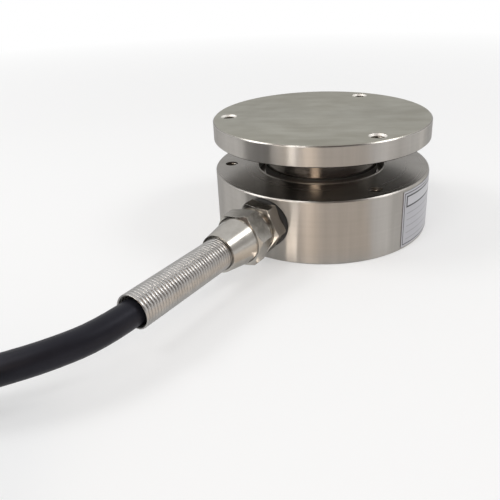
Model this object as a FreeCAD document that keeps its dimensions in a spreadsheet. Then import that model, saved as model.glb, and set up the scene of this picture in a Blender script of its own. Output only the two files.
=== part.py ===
"""Round two-flange load cell: sensing body, load plate, cable gland, relief spring and cable.

Millimetres. The origin is the centre of the body's bottom face, +Z points up along the load
axis, and the cable gland points along -Y. Every driving size is a cell of the sheet "Sizes".
"""
import FreeCAD, Part
import math
import os
import re

import Sketcher

V = FreeCAD.Vector

# Driving sizes, in millimetres, degrees and plain counts.
SIZES = {
    # Sensing body
    "body_diameter": 56,
    "body_height": 16,
    "rim_chamfer": 0.3,
    "well_diameter": 33.3,
    "well_depth": 2.2,
    "lip_width": 0.25,
    "lip_rise": 0.15,
    "lip_slope": 0.07,
    "diaphragm_thickness": 1.8,
    "cavity_diameter": 34,
    "hub_diameter": 12,
    "hub_rise": 1.4,
    "hub_drop": 6.4,
    # Mounting holes, tapped right through the body and the load plate
    "hole_circle": 48,
    "hole_count": 3,
    "hole_bore": 3.3,
    "hole_sink": 4.2,
    "cut_over": 1,
    # Load plate
    "plate_diameter": 56,
    "plate_thickness": 5,
    "plate_gap": 8,
    "well_gap": 1.85,
    "stop_gap": 0.6,
    "slip_clearance": 0.1,
    "thread_clearance": 0.05,
    # Screw that draws the load plate down on the hub
    "screw_diameter": 5,
    "screw_reach": 9,
    "screw_head_diameter": 8.5,
    "screw_head_height": 5,
    "screw_key": 4,
    "screw_key_depth": 2.5,
    "screw_clearance": 0.25,
    # Bottom cover, bonded into its recess
    "recess_diameter": 41,
    "cover_inset": 0.2,
    "cover_thickness": 1.8,
    # Cable gland, measured along its own axis from the flat seat in the body's wall
    "gland_drop": 6.5,
    "seat_clearance": 0.2,
    "seat_depth": 0.5,
    "gland_thread": 8,
    "gland_thread_length": 6.3,
    "gland_hole_depth": 6.5,
    "wire_hole": 4,
    "seal_diameter": 10,
    "seal_thickness": 1.3,
    "nut_across": 11,
    "nut_length": 3.6,
    "nut_turn": -4,
    "front_wall": 0.9,
    "front_thread_length": 5.7,
    "grommet_wall": 1,
    "chamber_depth": 5.35,
    "cable_clearance": 0.1,
    "cap_across": 11.5,
    "cap_hex_length": 4.6,
    "cap_gap": 2.2,
    "cap_turn": 8,
    "hex_bevel": 0.45,
    "nose_start": 10.9,
    "nose_wall": 0.55,
    "nose_length": 7.2,
    "thrust_thickness": 0.75,
    # Close-wound relief spring
    "spring_clearance": 0.28,
    "spring_wire": 0.72,
    "spring_groove": 0.24,
    "spring_pitch": 0.76,
    "spring_turns": 39,
    "spring_seat": 3.9,
    "spring_sides": 12,
    # Cable and what lies beyond its exit
    "cable_diameter": 5.3,
    "cable_overlap": 5,
    "coil_mean_diameter": 58.3,
    "coil_columns": 3,
    "coil_rows": 4,
    "tail_turn": 180,
    "tail_radius": 24,
    "tail_setback": 6,
    "tail_length": 16,
    "tie_angle": -45,
    "tie_width": 4,
    "tie_thickness": 0.8,
    "tie_head": 5,
    "core_sides": 6,
    "core_diameter": 1.2,
    "core_length": 26,
    "core_circle": 2.6,
    "core_spread": 2.3,
    "core_standoff": 0.15,
    "drain_diameter": 1,
    # Strain gauges, board and wires under the diaphragm
    "gauge_width": 3,
    "gauge_thickness": 0.1,
    "gauge_margin": 0.6,
    "gauge_gap": 1.8,
    "ribbon_width": 0.7,
    "board_overhang": 0.2,
    "board_margin": 0.4,
    "board_depth": 4.8,
    "board_thickness": 1.6,
    "chip_width": 0.8,
    "chip_depth": 1.6,
    "chip_height": 0.5,
    "chip_place": 3.4,
    "lead_diameter": 0.8,
    "lead_spacing": 0.9,
    # Foil label on the body's wall
    "label_bottom": 0.8,
    "label_height": 14.4,
    "label_start": -18.5,
    "label_arc": 84,
    "label_thickness": 0.12,
    "label_glue": 0.03,
}

# Lengths worked out from the driving sizes, as text that goes into the bound expressions.
BODY_R = "body_diameter / 2"
DIAPHRAGM_TOP = "(body_height - well_depth)"
DIAPHRAGM_UNDER = "(body_height - well_depth - diaphragm_thickness)"
HUB_TOP = "(body_height - well_depth + hub_rise)"
HUB_BOTTOM = "(body_height - well_depth - diaphragm_thickness - hub_drop)"
SCREW_SEAT = f"({HUB_BOTTOM} + screw_head_height + slip_clearance)"
PLATE_UNDER = "(body_height + plate_gap)"
PLATE_TOP = "(body_height + plate_gap + plate_thickness)"
COVER_LEDGE = "(cover_inset + cover_thickness)"
BOSS_R = "(well_diameter / 2 - well_gap)"
GLAND_HEIGHT = "(body_height - gland_drop)"
GLAND_SEAT = "(body_diameter / 2 - seat_depth)"
CHAMBER_R = "(cable_diameter / 2 + thread_clearance + grommet_wall + thread_clearance)"
FRONT_THREAD_R = f"({CHAMBER_R} + front_wall)"
SPRING_R = "(cable_diameter / 2 + spring_clearance + spring_wire)"
SPRING_BORE = f"({SPRING_R} + slip_clearance)"
NUT_FRONT = "(seal_thickness + nut_length)"
CHAMBER_MOUTH = "(seal_thickness + nut_length + front_thread_length)"
CHAMBER_FLOOR = "(seal_thickness + nut_length + front_thread_length - chamber_depth)"
CAP_BACK = "(seal_thickness + nut_length + cap_gap)"
CAP_SHOULDER = "(seal_thickness + nut_length + front_thread_length + thrust_thickness + thread_clearance)"
NOSE_BACK = "(seal_thickness + nut_length + cap_gap + cap_hex_length)"
NOSE_FRONT = "(seal_thickness + nut_length + cap_gap + cap_hex_length + nose_length)"
SPRING_BACK = f"({NOSE_FRONT} - spring_seat)"
SPRING_TIP = f"({SPRING_BACK} + spring_turns * spring_pitch)"
CABLE_BORE = "(cable_diameter / 2 + cable_clearance)"
GAUGE_UNDER = f"({DIAPHRAGM_UNDER} - gauge_thickness)"
GAUGE_LENGTH = "((cavity_diameter - hub_diameter) / 4 - gauge_margin - gauge_gap / 2)"
GAUGE_INNER = f"(hub_diameter / 2 + gauge_margin + {GAUGE_LENGTH} / 2)"
GAUGE_OUTER = f"(cavity_diameter / 2 - gauge_margin - {GAUGE_LENGTH} / 2)"
FEED_START = "(hub_diameter / 2 + gauge_margin)"
BOARD_HALF = f"({FEED_START} + ribbon_width + board_overhang)"
BOARD_FAR = f"sqrt((cavity_diameter / 2 - board_margin)^2 - {BOARD_HALF}^2)"
BOARD_NEAR = f"({BOARD_FAR} - board_depth)"
BOARD_PLACE = f"({BOARD_FAR} - board_depth / 2)"
BOARD_UNDER = f"({DIAPHRAGM_UNDER} - board_thickness)"
LEAD_HEIGHT = f"({BOARD_UNDER} - lead_diameter / 2)"
COIL_INNER = "(coil_mean_diameter / 2 - coil_columns * cable_diameter / 2)"
COIL_OUTER = "(coil_mean_diameter / 2 + coil_columns * cable_diameter / 2)"
COIL_TOP = "(cable_diameter * (1 + (coil_rows - 1) * sqrt(3) / 2))"

# Route of the free cable after the spring's tip, chosen by hand: across, outward and height.
# It leaves at the gland's height and ends on the floor.
ON_FLOOR = "cable_diameter / 2"
ROUTE = [
    (0.0, -5.0, GLAND_HEIGHT),
    (0.0, 5.5, GLAND_HEIGHT),
    (-3.8, 15.5, "9.1"),
    (-11.0, 24.0, "7.9"),
    (-18.2, 31.3, "5.4"),
    (-24.0, 39.6, ON_FLOOR),
    (-28.5, 48.8, ON_FLOOR),
]

# Share of the shorter run that each bend of the route takes up.
ARC_SHARE = 0.45

CORES = ("red", "black", "green", "white")

# Strands at the cable's far end, from one side to the other, each with its place round the cable's axis.
STRANDS = {
    "core_red": 162,
    "core_black": 234,
    "shield_drain": 90,
    "core_green": 306,
    "core_white": 18,
}

doc = FreeCAD.newDocument("load_cell")
sheet = doc.addObject("Spreadsheet::Sheet", "Sizes")
for row, (alias, number) in enumerate(SIZES.items(), 1):
    sheet.set(f"A{row}", alias)
    sheet.set(f"B{row}", str(number))
    sheet.setAlias(f"B{row}", alias)
doc.recompute()

sub_parts = []


def bound(text):
    """An expression in which each named size reads its cell of the sheet."""
    return re.sub(r"[a-z_]+", lambda m: "Sizes." + m[0] if m[0] in SIZES else m[0], str(text))


def size(text):
    """The number that an expression of named sizes gives now."""
    return float(sheet.evalExpression(bound(text)))


def finished(thing, label):
    """Name a document object as a sub-part to be written."""
    thing.Label = label
    sub_parts.append(thing)
    return thing


def bind(thing, **expressions):
    """Tie properties of a document object to the sheet."""
    for name, text in expressions.items():
        thing.setExpression(name, bound(text))
    return thing


def place(thing, x="0", y="0", z="0", axis=V(0, 0, 1), angle=0):
    """Turn a thing about an axis and tie its base point to the sheet."""
    thing.Placement = FreeCAD.Placement(V(0, 0, 0), FreeCAD.Rotation(axis, angle))
    for name, text in (("x", x), ("y", y), ("z", z)):
        thing.setExpression(f".Placement.Base.{name}", bound(text))
    return thing


def on_gland_axis(thing):
    """Stand a piece made along +Z on the gland's seat, pointing out along -Y."""
    return place(thing, y=f"-{GLAND_SEAT}", z=GLAND_HEIGHT, axis=V(1, 0, 0), angle=90)


def origin_feature(body, role):
    return next(f for f in body.Origin.OriginFeatures if f.Role == role)


def closed_sketch(body, name, points, role, axis_line=False):
    """A closed outline with every corner tied to the sheet, and its closing edge as an axis if asked."""
    sketch = body.newObject("Sketcher::SketchObject", name)
    sketch.AttachmentSupport = (origin_feature(body, role), [""])
    sketch.MapMode = "FlatFace"
    corners = [V(size(x), size(y), 0) for x, y in points]
    count = len(points)
    for i in range(count):
        sketch.addGeometry(Part.LineSegment(corners[i], corners[(i + 1) % count]), False)
    for i in range(count):
        sketch.addConstraint(Sketcher.Constraint("Coincident", i, 2, (i + 1) % count, 1))
    for i, (x, y) in enumerate(points):
        for kind, text, axis in (("DistanceX", x, -2), ("DistanceY", y, -1)):
            if text == "0":
                sketch.addConstraint(Sketcher.Constraint("PointOnObject", i, 1, axis))
                continue
            k = sketch.addConstraint(Sketcher.Constraint(kind, -1, 1, i, 1, size(text)))
            sketch.setExpression(f"Constraints[{k}]", bound(text))
    if axis_line:
        sketch.addGeometry(Part.LineSegment(corners[0], corners[-1]), True)
        sketch.addConstraint(Sketcher.Constraint("Coincident", count, 1, 0, 1))
        sketch.addConstraint(Sketcher.Constraint("Coincident", count, 2, count - 1, 1))
    return sketch


def turned(name, points):
    """A body turned about its own Z axis from an outline of radius and height."""
    body = doc.addObject("PartDesign::Body", name)
    turning = body.newObject("PartDesign::Revolution", f"{name}_turning")
    turning.Profile = closed_sketch(body, f"{name}_outline", points, "XZ_Plane")
    turning.ReferenceAxis = (turning.Profile[0], ["V_Axis"])
    turning.Angle = 360
    body.Tip = turning
    return body


def bored(body, name, points):
    """Bore a hole from its half outline, whose first and last points lie on the hole's axis."""
    groove = body.newObject("PartDesign::Groove", name)
    groove.Profile = closed_sketch(body, f"{name}_outline", points, "YZ_Plane", axis_line=True)
    groove.ReferenceAxis = (groove.Profile[0], ["Axis0"])
    groove.Angle = 360
    body.Tip = groove
    return groove


def repeated(body, feature, count):
    """Repeat a feature round the body's Z axis."""
    pattern = body.newObject("PartDesign::PolarPattern", f"{feature.Name}_ring")
    pattern.Originals = [feature]
    pattern.Axis = (origin_feature(body, "Z_Axis"), [""])
    pattern.Angle = 360
    bind(pattern, Occurrences=count)
    body.Tip = pattern
    return pattern


def tapped_holes(body, inner, outer, out):
    """The ring of through holes, countersunk at the outer face, which looks up (1) or down (-1)."""
    axis = "hole_circle / 2"
    wall = "(hole_circle + hole_bore) / 2"
    sink = "(hole_sink - hole_bore) / 2"
    mouth = "((hole_circle + hole_sink) / 2 + cut_over)"
    hole = bored(body, f"{body.Name}_hole", [
        (axis, f"{inner} - ({out}) * cut_over"),
        (wall, f"{inner} - ({out}) * cut_over"),
        (wall, f"{outer} - ({out}) * {sink}"),
        (mouth, f"{outer} + ({out}) * cut_over"),
        (axis, f"{outer} + ({out}) * cut_over"),
    ])
    return repeated(body, hole, "hole_count")


def hex_flats(body, name, across, top, length, turn):
    """Mill six flats on a turned collar, from its top down."""
    sketch = closed_sketch(body, f"{name}_outline", [
        (f"{across} / sqrt(3) * cos({turn} + {60 * k})", f"{across} / sqrt(3) * sin({turn} + {60 * k})")
        for k in range(6)
    ], "XY_Plane")
    clear = sketch.addGeometry(Part.Circle(V(0, 0, 0), V(0, 0, 1), size(across)), False)
    sketch.addConstraint(Sketcher.Constraint("Coincident", clear, 3, -1, 1))
    k = sketch.addConstraint(Sketcher.Constraint("Radius", clear, size(across)))
    sketch.setExpression(f"Constraints[{k}]", bound(across))
    sketch.setExpression(".AttachmentOffset.Base.z", bound(top))
    flats = body.newObject("PartDesign::Pocket", name)
    flats.Profile = sketch
    bind(flats, Length=length)
    body.Tip = flats
    return flats


def rod(name, diameter, length):
    """A plain round rod along +Z."""
    return bind(doc.addObject("Part::Cylinder", name), Radius=f"({diameter}) / 2", Height=length)


def strand(name, diameter, length):
    """A thin wire along +Z with a few plain sides, as wide across its corners as the real one."""
    wire = doc.addObject("Part::Prism", name)
    return bind(wire, Polygon="core_sides", Circumradius=f"({diameter}) / 2", Height=length)


def slab(name, width, depth, height):
    """A plain block from its corner at the origin."""
    return bind(doc.addObject("Part::Box", name), Length=width, Width=depth, Height=height)


def sensing_body():
    """Outer ring with a fine lip round its well, thin diaphragm and central hub, turned from one bar."""
    body = turned("sensing_body", [
        ("recess_diameter / 2", "0"),
        (f"{BODY_R} - rim_chamfer", "0"),
        (BODY_R, "rim_chamfer"),
        (BODY_R, "body_height - rim_chamfer"),
        (f"{BODY_R} - rim_chamfer", "body_height"),
        ("well_diameter / 2 + lip_width + lip_slope", "body_height"),
        ("well_diameter / 2 + lip_width", "body_height + lip_rise"),
        ("well_diameter / 2", "body_height + lip_rise"),
        ("well_diameter / 2", DIAPHRAGM_TOP),
        ("hub_diameter / 2", DIAPHRAGM_TOP),
        ("hub_diameter / 2", HUB_TOP),
        ("screw_diameter / 2 + screw_clearance", HUB_TOP),
        ("screw_diameter / 2 + screw_clearance", SCREW_SEAT),
        ("screw_head_diameter / 2 + slip_clearance", SCREW_SEAT),
        ("screw_head_diameter / 2 + slip_clearance", HUB_BOTTOM),
        ("hub_diameter / 2", HUB_BOTTOM),
        ("hub_diameter / 2", DIAPHRAGM_UNDER),
        ("cavity_diameter / 2", DIAPHRAGM_UNDER),
        ("cavity_diameter / 2", COVER_LEDGE),
        ("recess_diameter / 2", COVER_LEDGE),
    ])
    tapped_holes(body, "body_height", "0", -1)
    seat_top = f"{GLAND_HEIGHT} + seal_diameter / 2 + seat_clearance"
    thread_top = f"{GLAND_HEIGHT} + gland_thread / 2 + thread_clearance"
    wire_top = f"{GLAND_HEIGHT} + wire_hole / 2"
    bored(body, "gland_hole", [
        ("-body_diameter / 2 - cut_over", GLAND_HEIGHT),
        ("-body_diameter / 2 - cut_over", seat_top),
        (f"-{GLAND_SEAT}", seat_top),
        (f"-{GLAND_SEAT}", thread_top),
        (f"-{GLAND_SEAT} + gland_hole_depth", thread_top),
        (f"-{GLAND_SEAT} + gland_hole_depth", wire_top),
        ("-cavity_diameter / 2 + cut_over", wire_top),
        ("-cavity_diameter / 2 + cut_over", GLAND_HEIGHT),
    ])
    finished(body, "sensing_body")


def load_plate():
    """Load plate with its boss, which seats on the hub inside the well."""
    boss_under = f"({DIAPHRAGM_TOP} + stop_gap)"
    screw_hole = "screw_diameter / 2 + thread_clearance"
    thread_end = f"({HUB_TOP} + screw_reach + slip_clearance)"
    body = turned("load_plate", [
        ("0", PLATE_TOP),
        ("plate_diameter / 2 - rim_chamfer", PLATE_TOP),
        ("plate_diameter / 2", f"{PLATE_TOP} - rim_chamfer"),
        ("plate_diameter / 2", f"{PLATE_UNDER} + rim_chamfer"),
        ("plate_diameter / 2 - rim_chamfer", PLATE_UNDER),
        (BOSS_R, PLATE_UNDER),
        (BOSS_R, boss_under),
        ("hub_diameter / 2 + slip_clearance", boss_under),
        ("hub_diameter / 2 + slip_clearance", HUB_TOP),
        (screw_hole, HUB_TOP),
        (screw_hole, thread_end),
        ("0", thread_end),
    ])
    tapped_holes(body, PLATE_UNDER, PLATE_TOP, 1)
    finished(body, "load_plate")


def plate_screw():
    """Socket head screw, put in from the cavity."""
    head_bottom = f"({SCREW_SEAT} - screw_head_height)"
    body = turned("plate_screw", [
        ("0", head_bottom),
        ("screw_head_diameter / 2", head_bottom),
        ("screw_head_diameter / 2", SCREW_SEAT),
        ("screw_diameter / 2", SCREW_SEAT),
        ("screw_diameter / 2", f"{HUB_TOP} + screw_reach"),
        ("0", f"{HUB_TOP} + screw_reach"),
    ])
    key = closed_sketch(body, "key_outline", [
        (f"screw_key / sqrt(3) * cos({60 * k})", f"screw_key / sqrt(3) * sin({60 * k})") for k in range(6)
    ], "XY_Plane")
    key.setExpression(".AttachmentOffset.Base.z", bound(f"{head_bottom} + screw_key_depth"))
    socket = body.newObject("PartDesign::Pocket", "key_socket")
    socket.Profile = key
    bind(socket, Length="screw_key_depth")
    body.Tip = socket
    finished(body, "plate_screw")


def bottom_cover():
    """Cover disc, bonded on the recess's ledge a little inside the body's foot."""
    radius = "recess_diameter / 2 - slip_clearance"
    cover = turned("bottom_cover", [
        ("0", "cover_inset"),
        (radius, "cover_inset"),
        (radius, COVER_LEDGE),
        ("0", COVER_LEDGE),
    ])
    finished(cover, "bottom_cover")


def strain_gauges():
    """Four foil gauges under the diaphragm, in line across the load axis."""
    places = {
        "inner_left": f"-{GAUGE_INNER}",
        "inner_right": GAUGE_INNER,
        "outer_left": f"-{GAUGE_OUTER}",
        "outer_right": GAUGE_OUTER,
    }
    for side, across in places.items():
        gauge = slab(f"strain_gauge_{side}", GAUGE_LENGTH, "gauge_width", "gauge_thickness")
        place(gauge, x=f"{across} - {GAUGE_LENGTH} / 2", y="-gauge_width / 2", z=GAUGE_UNDER)
        finished(gauge, f"strain_gauge_{side}")


def bridge_ribbons():
    """Flat ribbons between each pair of gauges, and from the inner gauges back to the board."""
    link_start = f"({FEED_START} + {GAUGE_LENGTH})"
    reach = f"{BOARD_NEAR} - gauge_width / 2"
    ribbons = []
    for side, link_x, feed_x in (
        ("left", f"-{link_start} - gauge_gap", f"-{FEED_START} - ribbon_width"),
        ("right", link_start, FEED_START),
    ):
        link = slab(f"bridge_link_{side}", "gauge_gap", "ribbon_width", "gauge_thickness")
        ribbons.append(place(link, x=link_x, y="-ribbon_width / 2", z=GAUGE_UNDER))
        feed = slab(f"bridge_feed_{side}", "ribbon_width", reach, "gauge_thickness")
        ribbons.append(place(feed, x=feed_x, y=f"-{BOARD_NEAR}", z=GAUGE_UNDER))
    group = doc.addObject("Part::Compound", "bridge_ribbons")
    group.Links = ribbons
    finished(group, "bridge_ribbons")


def terminal_board():
    """Terminal board under the diaphragm's rim, with its trim resistors and the cable's leads."""
    board = slab("terminal_board", f"2 * {BOARD_HALF}", "board_depth", "board_thickness")
    place(board, x=f"-{BOARD_HALF}", y=f"-{BOARD_FAR}", z=BOARD_UNDER)
    finished(board, "terminal_board")
    chips = []
    for side, across in (("left", "-chip_place"), ("right", "chip_place")):
        chip = slab(f"trim_resistor_{side}", "chip_width", "chip_depth", "chip_height")
        chips.append(place(chip, x=f"{across} - chip_width / 2", y=f"-{BOARD_PLACE} - chip_depth / 2",
                           z=f"{BOARD_UNDER} - chip_height"))
    group = doc.addObject("Part::Compound", "trim_resistors")
    group.Links = chips
    finished(group, "trim_resistors")
    reach = f"{GLAND_SEAT} - gland_thread_length - {BOARD_PLACE}"
    for k, colour in enumerate(CORES):
        lead = strand(f"lead_{colour}", "lead_diameter", reach)
        across = f"{k - (len(CORES) - 1) / 2} * lead_spacing"
        place(lead, x=across, y=f"-{BOARD_PLACE}", z=LEAD_HEIGHT, axis=V(1, 0, 0), angle=90)
        finished(lead, f"lead_{colour}")


def gland_body():
    """Gland body: rear thread, hexagon and front thread round the grommet's chamber."""
    corner = "nut_across / sqrt(3)"
    body = turned("gland_body", [
        (CABLE_BORE, "-gland_thread_length"),
        ("gland_thread / 2 - hex_bevel", "-gland_thread_length"),
        ("gland_thread / 2", "-gland_thread_length + hex_bevel"),
        ("gland_thread / 2", "seal_thickness"),
        (corner, "seal_thickness"),
        (corner, f"{NUT_FRONT} - hex_bevel"),
        ("nut_across / 2 - hex_bevel / 2", NUT_FRONT),
        (FRONT_THREAD_R, NUT_FRONT),
        (FRONT_THREAD_R, f"{CHAMBER_MOUTH} - hex_bevel / 2"),
        (f"{FRONT_THREAD_R} - hex_bevel / 2", CHAMBER_MOUTH),
        (CHAMBER_R, CHAMBER_MOUTH),
        (CHAMBER_R, CHAMBER_FLOOR),
        (CABLE_BORE, CHAMBER_FLOOR),
    ])
    hex_flats(body, "gland_nut", "nut_across", NUT_FRONT, "nut_length", "nut_turn")
    finished(on_gland_axis(body), "gland_body")


def gland_seals():
    """Seal against the body's wall, grommet round the cable and the ring that presses it."""
    seal_bore = "gland_thread / 2 + slip_clearance"
    seal = turned("gland_seal", [
        (seal_bore, "0"),
        ("seal_diameter / 2", "0"),
        ("seal_diameter / 2", "seal_thickness"),
        (seal_bore, "seal_thickness"),
    ])
    finished(on_gland_axis(seal), "gland_seal")
    grommet_r = f"{CHAMBER_R} - thread_clearance"
    bore = "cable_diameter / 2 + thread_clearance"
    grommet = turned("gland_grommet", [
        (bore, CHAMBER_FLOOR),
        (grommet_r, CHAMBER_FLOOR),
        (grommet_r, CHAMBER_MOUTH),
        (bore, CHAMBER_MOUTH),
    ])
    finished(on_gland_axis(grommet), "gland_grommet")
    ring_r = f"{FRONT_THREAD_R} - slip_clearance"
    ring = turned("thrust_ring", [
        (CABLE_BORE, CHAMBER_MOUTH),
        (ring_r, CHAMBER_MOUTH),
        (ring_r, f"{CHAMBER_MOUTH} + thrust_thickness"),
        (CABLE_BORE, f"{CHAMBER_MOUTH} + thrust_thickness"),
    ])
    finished(on_gland_axis(ring), "thrust_ring")


def gland_cap():
    """Cap nut with a hexagon bevelled at both ends and a tapered nose that holds the spring."""
    corner = "cap_across / sqrt(3)"
    bevel_r = "cap_across / 2 - hex_bevel / 8"
    thread_r = f"{FRONT_THREAD_R} + thread_clearance"
    body = turned("gland_cap", [
        (thread_r, CAP_BACK),
        (bevel_r, CAP_BACK),
        (corner, f"{CAP_BACK} + hex_bevel"),
        (corner, f"{NOSE_BACK} - hex_bevel"),
        (bevel_r, NOSE_BACK),
        ("nose_start / 2", NOSE_BACK),
        (f"{SPRING_BORE} + nose_wall", NOSE_FRONT),
        (SPRING_BORE, NOSE_FRONT),
        (SPRING_BORE, SPRING_BACK),
        (CABLE_BORE, SPRING_BACK),
        (CABLE_BORE, CAP_SHOULDER),
        (thread_r, CAP_SHOULDER),
    ])
    hex_flats(body, "cap_nut", "cap_across", NOSE_BACK, "cap_hex_length", "cap_turn")
    finished(on_gland_axis(body), "gland_cap")


def relief_spring():
    """Close-wound relief spring as one sleeve: each turn that shows is a ridge with plain sides."""
    pitch = size("spring_pitch")
    crest = size(SPRING_R)
    valley = crest - size("spring_groove")
    bore = crest - size("spring_wire")
    back = size(SPRING_BACK)
    tip = size(SPRING_TIP)
    turns = math.floor(size(f"{SPRING_TIP} - {NOSE_FRONT}") / pitch)
    section = [(bore, back), (valley, back), (valley, tip - turns * pitch)]
    for k in range(turns):
        ridge = tip - (turns - k) * pitch
        section += [(crest, ridge + pitch / 2), (valley, ridge + pitch)]
    section += [(bore, tip), (bore, back)]
    sides = int(size("spring_sides"))
    faces = []
    for (r1, z1), (r2, z2) in zip(section, section[1:]):
        lower = ring_corners(r1, z1, sides)
        upper = ring_corners(r2, z2, sides)
        for k in range(sides):
            corners = [lower[k], lower[k + 1], upper[k + 1], upper[k], lower[k]]
            faces.append(Part.Face(Part.makePolygon(corners)))
    spring = doc.addObject("Part::Feature", "relief_spring")
    spring.Shape = Part.makeSolid(Part.makeShell(faces))
    finished(on_gland_axis(spring), "relief_spring")


def ring_corners(radius, height, sides):
    """The corners of a regular ring about the Z axis, with the first repeated at the end."""
    turns = [2 * math.pi * k / sides for k in range(sides + 1)]
    return [V(radius * math.cos(a), radius * math.sin(a), height) for a in turns]


def side_label():
    """Foil label bent round the body's wall."""
    foil = rod("label_foil", "body_diameter + 2 * (label_glue + label_thickness)", "label_height")
    bind(foil, Angle="label_arc")
    place(foil, z="label_bottom")
    foil.setExpression(".Placement.Rotation.Angle", bound("label_start"))
    inside = rod("label_inside", "body_diameter + 2 * label_glue", "body_height")
    label = doc.addObject("Part::Cut", "side_label")
    label.Base = foil
    label.Tool = inside
    finished(label, "side_label")


def route_points():
    """The free cable's corner points in the part's frame."""
    tip = size(f"{GLAND_SEAT} + {SPRING_TIP}")
    return [V(x, -tip - out, size(height)) for x, out, height in ROUTE]


def rounded_path(points):
    """Straight runs joined by tangent arcs, each as large as its two runs allow."""
    edges = []
    here = points[0]
    for before, corner, after in zip(points, points[1:], points[2:]):
        back = before - corner
        ahead = after - corner
        half_turn = (math.pi - back.getAngle(ahead)) / 2
        reach = ARC_SHARE * min(back.Length, ahead.Length)
        radius = reach / math.tan(half_turn)
        print(f"bend of {2 * math.degrees(half_turn):.1f} degrees, radius {radius:.1f} mm")
        back.normalize()
        ahead.normalize()
        inward = back + ahead
        inward.normalize()
        start = corner + back * reach
        end = corner + ahead * reach
        middle = corner + inward * (radius / math.cos(half_turn) - radius)
        edges.append(Part.LineSegment(here, start).toShape())
        edges.append(Part.Arc(start, middle, end).toShape())
        here = end
    edges.append(Part.LineSegment(here, points[-1]).toShape())
    return Part.Wire(edges)


def cable():
    """Cable: the stretch that the gland holds, and the free run after the spring."""
    points = route_points()
    inner_end = f"-{GLAND_SEAT} + gland_thread_length"
    held = rod("cable_inlet", "cable_diameter",
               f"gland_thread_length + {SPRING_TIP} - cable_overlap")
    place(held, y=inner_end, z=GLAND_HEIGHT, axis=V(1, 0, 0), angle=90)
    finished(held, "cable_inlet")
    path = rounded_path(points)
    radius = size("cable_diameter / 2")
    section = Part.Wire(Part.Circle(points[0], points[1] - points[0], radius).toShape())
    run = doc.addObject("Part::Feature", "cable_run")
    run.Shape = path.makePipeShell([section], True, True)
    plain_volume = math.pi * radius**2 * path.Length
    print(f"cable run {path.Length:.1f} mm, volume ratio {run.Shape.Volume / plain_volume:.5f}")
    finished(run, "cable_run")


def coil_frame():
    """Centre of the coil and the heading of the cable where it comes in."""
    before, end = route_points()[-2:]
    heading = end - before
    heading.z = 0
    heading.normalize()
    left = V(-heading.y, heading.x, 0)
    turn_r = size("(coil_mean_diameter + (coil_columns - 1) * cable_diameter) / 2")
    clear_r = size(f"{COIL_OUTER} + cable_diameter / 2")
    lead_in = math.sqrt(clear_r**2 - turn_r**2)
    centre = end + heading * lead_in + left * turn_r
    return V(centre.x, centre.y, 0), end, heading, lead_in


def cable_coil():
    """The put-away length as one ring with its lead-in, notched where the tie passes under it."""
    centre, end, heading, lead_in = coil_frame()
    ring = turned("coil_ring", [
        (COIL_INNER, "0"),
        (COIL_OUTER, "0"),
        (COIL_OUTER, COIL_TOP),
        (COIL_INNER, COIL_TOP),
    ])
    ring.Placement.Base = centre
    lead = bind(doc.addObject("Part::Cylinder", "coil_lead_in"), Radius="cable_diameter / 2")
    lead.Height = lead_in
    lead.Placement = FreeCAD.Placement(end, FreeCAD.Rotation(V(0, 0, 1), heading))
    whole = doc.addObject("Part::Fuse", "coil_whole")
    whole.Base = ring
    whole.Tool = lead
    notch = slab("coil_notch", COIL_OUTER, "tie_width", "tie_thickness")
    stand_on_coil(notch, centre, V(0, -size("tie_width") / 2, 0))
    coil = doc.addObject("Part::Cut", "cable_coil")
    coil.Base = whole
    coil.Tool = notch
    finished(coil, "cable_coil")


def stand_on_coil(thing, centre, offset):
    """Turn a thing made along +X to the tie's place on the coil."""
    turn = FreeCAD.Rotation(V(0, 0, 1), size("tie_angle"))
    thing.Placement = FreeCAD.Placement(centre + turn.multVec(offset), turn)
    return thing


def cable_tie():
    """Flat tie round the coil's turns, with its lock on the outside."""
    centre = coil_frame()[0]
    side = -size("tie_width") / 2
    thick = size("tie_thickness")
    inside = f"sqrt({COIL_INNER}^2 - (tie_width / 2)^2)"
    band = slab("tie_band", f"{COIL_OUTER} - {inside} + 2 * tie_thickness", "tie_width",
                f"{COIL_TOP} + tie_thickness")
    stand_on_coil(band, centre, V(size(inside) - thick, side, 0))
    window = slab("tie_window", f"{COIL_OUTER} - {inside}", "tie_width", f"{COIL_TOP} - tie_thickness")
    stand_on_coil(window, centre, V(size(inside), side, thick))
    loop = doc.addObject("Part::Cut", "tie_loop")
    loop.Base = band
    loop.Tool = window
    lock = slab("tie_lock", "tie_head", "tie_head", "tie_head")
    outside = V(size(f"{COIL_OUTER} + tie_thickness"), -size("tie_head") / 2, size(COIL_TOP) / 2)
    stand_on_coil(lock, centre, outside)
    tie = doc.addObject("Part::Fuse", "cable_tie")
    tie.Base = loop
    tie.Tool = lock
    finished(tie, "cable_tie")


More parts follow.
